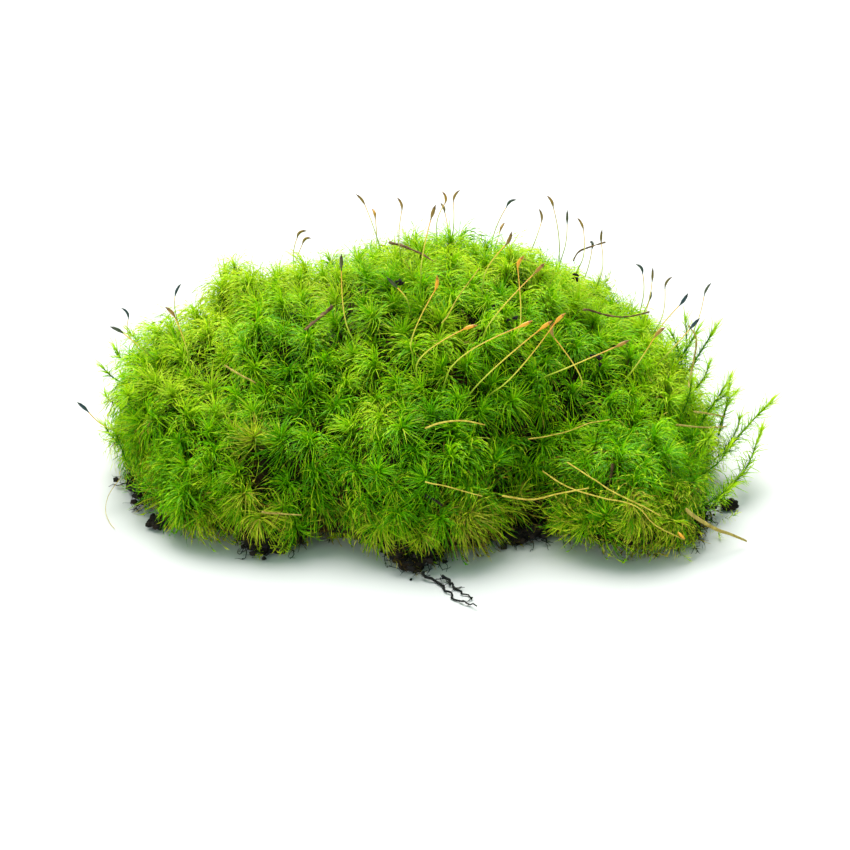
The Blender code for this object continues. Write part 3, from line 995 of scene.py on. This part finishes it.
def rootlets(points, mat):
    """Fine dark rhizoids and rootlets that hang out of the mat's edge and lie on the floor."""
    rng = np.random.default_rng(5)
    rim, middle = rim_of(points)
    parts = []
    for _ in range(ROOTLETS):
        spot = rim[rng.integers(len(rim))].copy()
        out = unit(np.append(spot[:2] - middle, 0.0) + rng.normal(0, 0.02, 3))
        spot[2] = rng.uniform(0.0004, 0.0035)
        line = [spot - out * 0.002]
        for _ in range(7):
            out = unit(out + rng.normal(0, 0.6, 3) + np.array((0, 0, -0.12)))
            nxt = line[-1] + out * rng.uniform(0.0005, 0.0014)
            nxt[2] = max(nxt[2], 0.0002)
            line.append(nxt)
        width = rng.uniform(0.00007, 0.00018)
        made, tris = tube(through(line, 11), np.linspace(width, width * 0.4, 11), 3)
        made[:, 2] = np.maximum(made[:, 2], 0.00003)
        parts.append((made, tris, np.zeros((len(made), 2))))
    for node in ("root_main", "root_fork"):
        along, _ = welded(NODES[node])
        for _ in range(SIDE_ROOTLETS):
            line = [along[rng.integers(len(along))]]
            out = unit(rng.normal(0, 1, 3) * (1, 1, 0.1))
            for _ in range(4):
                out = unit(out + rng.normal(0, 0.5, 3) * (1, 1, 0.3))
                nxt = line[-1] + out * rng.uniform(0.0003, 0.0009)
                nxt[2] = max(nxt[2], 0.0002)
                line.append(nxt)
            made, tris = tube(through(line, 8), np.linspace(0.00016, 0.00006, 8), 4)
            made[:, 2] = np.maximum(made[:, 2], 0.00003)
            parts.append((made, tris, np.zeros((len(made), 2))))
    made, tris, _ = joined(parts)
    adopt(new_object("rootlets", triangle_mesh("rootlets", made, tris), mat), "humus_brown")


def studio():
    """A pale floor, a sky that is white near the horizon, two wide soft lights and the camera."""
    floor_mesh = bpy.data.meshes.new("studio_floor")
    s = FLOOR_HALF
    floor_mesh.from_pydata([(-s, -s, 0), (s, -s, 0), (s, s, 0), (-s, s, 0)], [], [(0, 1, 2, 3)])
    floor = new_object("studio_floor", floor_mesh, floor_material(), smooth=False)
    world = bpy.data.worlds.new("studio")
    bpy.context.scene.world = world
    world.use_nodes = True
    tree = world.node_tree
    coords = tree.nodes.new("ShaderNodeTexCoord")
    split = tree.nodes.new("ShaderNodeSeparateXYZ")
    sky = tree.nodes.new("ShaderNodeValToRGB")
    for element, (place, colour) in zip(sky.color_ramp.elements, SKY):
        element.position = place
        element.color = (*colour, 1)
    tree.links.new(coords.outputs["Generated"], split.inputs[0])
    tree.links.new(split.outputs["Z"], sky.inputs["Fac"])
    tree.links.new(sky.outputs["Color"], tree.nodes["Background"].inputs["Color"])

    for name, place, width, strength, colour in SUNS:
        data = bpy.data.lights.new(name, "SUN")
        data.angle = math.radians(width)
        data.energy = strength
        data.color = colour
        obj = bpy.data.objects.new(name, data)
        obj.rotation_euler = (-Vector(place)).to_track_quat("-Z", "Y").to_euler()
        bpy.context.scene.collection.objects.link(obj)

    camera = bpy.data.cameras.new("camera")
    camera.sensor_width = SENSOR_MM
    camera.lens = FOCAL_PIXELS * SENSOR_MM / IMAGE_WIDTH
    camera.clip_end = 30
    view = bpy.data.objects.new("camera", camera)
    back, up = CAMERA_AWAY * math.cos(CAMERA_RISE), CAMERA_AWAY * math.sin(CAMERA_RISE)
    view.location = (0, -back, AIM_HEIGHT + up)
    view.rotation_euler = (math.radians(90) - CAMERA_RISE, 0, 0)
    bpy.context.scene.collection.objects.link(view)
    bpy.context.scene.camera = view
    bpy.context.scene.view_settings.view_transform = "Standard"


def main():
    leaf, stem = leaf_material(), stem_material()
    points, faces, normals = moss_shoots(leaf, stem)
    thatch(points, faces, thatch_and_shade_material())
    soil = humus_material()
    mat_points = humus(soil)
    root = root_material()
    rootlets(mat_points, root)
    dead_fringe(mat_points, leaf)
    crumbs(mat_points, soil)
    stalk = stalk_material()
    sporophytes(stalk)
    far_side_stalks(points, faces, normals, stalk)
    sprigs(leaf)
    wisps(points, faces, normals, leaf)
    straw = wood_material("dry_stalk", (0.46, 0.33, 0.03), (0.84, 0.68, 0.12), 700)
    bark = wood_material("weathered_bark", (0.05, 0.026, 0.01), (0.28, 0.17, 0.08), 500)
    needle = wood_material("dead_needle", (0.26, 0.17, 0.03), (0.64, 0.52, 0.13), 800)
    litter(soil, straw, stalk)
    straws = [name for name in NODES if name.startswith("stalk_")]
    slim_copies("dry_stalks", straws, straw, "litter_tan", 0.17, 0.12)
    twigs = ["twig_top", "twig_right", "twig_back", "bark_chip"]
    rough_copy("twigs", twigs, bark, "litter_tan", 2, 0.0005, 0.0012)
    rough_copy("dead_stems", ["twig_pale", "dead_stalk"], needle, "litter_tan", 2, 0.0003, 0.001)
    needles = ["pine_needle_long", "pine_needle_short", "dead_blade"]
    slim_copies("pine_needles", needles, needle, "litter_tan", 0.24, 0.15)
    rough_copy("grass_blade", ["grass_blade"], needle, "litter_tan", 1, 0.0001, 0.001)
    slim_copies("root", ["root_main", "root_fork"], root, "humus_brown", 0.38, 0.16, 1.1)
    crumb_nodes = ["soil_crumb_1", "soil_crumb_2"]
    rough_copy("soil_crumbs", crumb_nodes, soil, "humus_brown", 3, 0.0022, 0.0009)
    studio()


main()
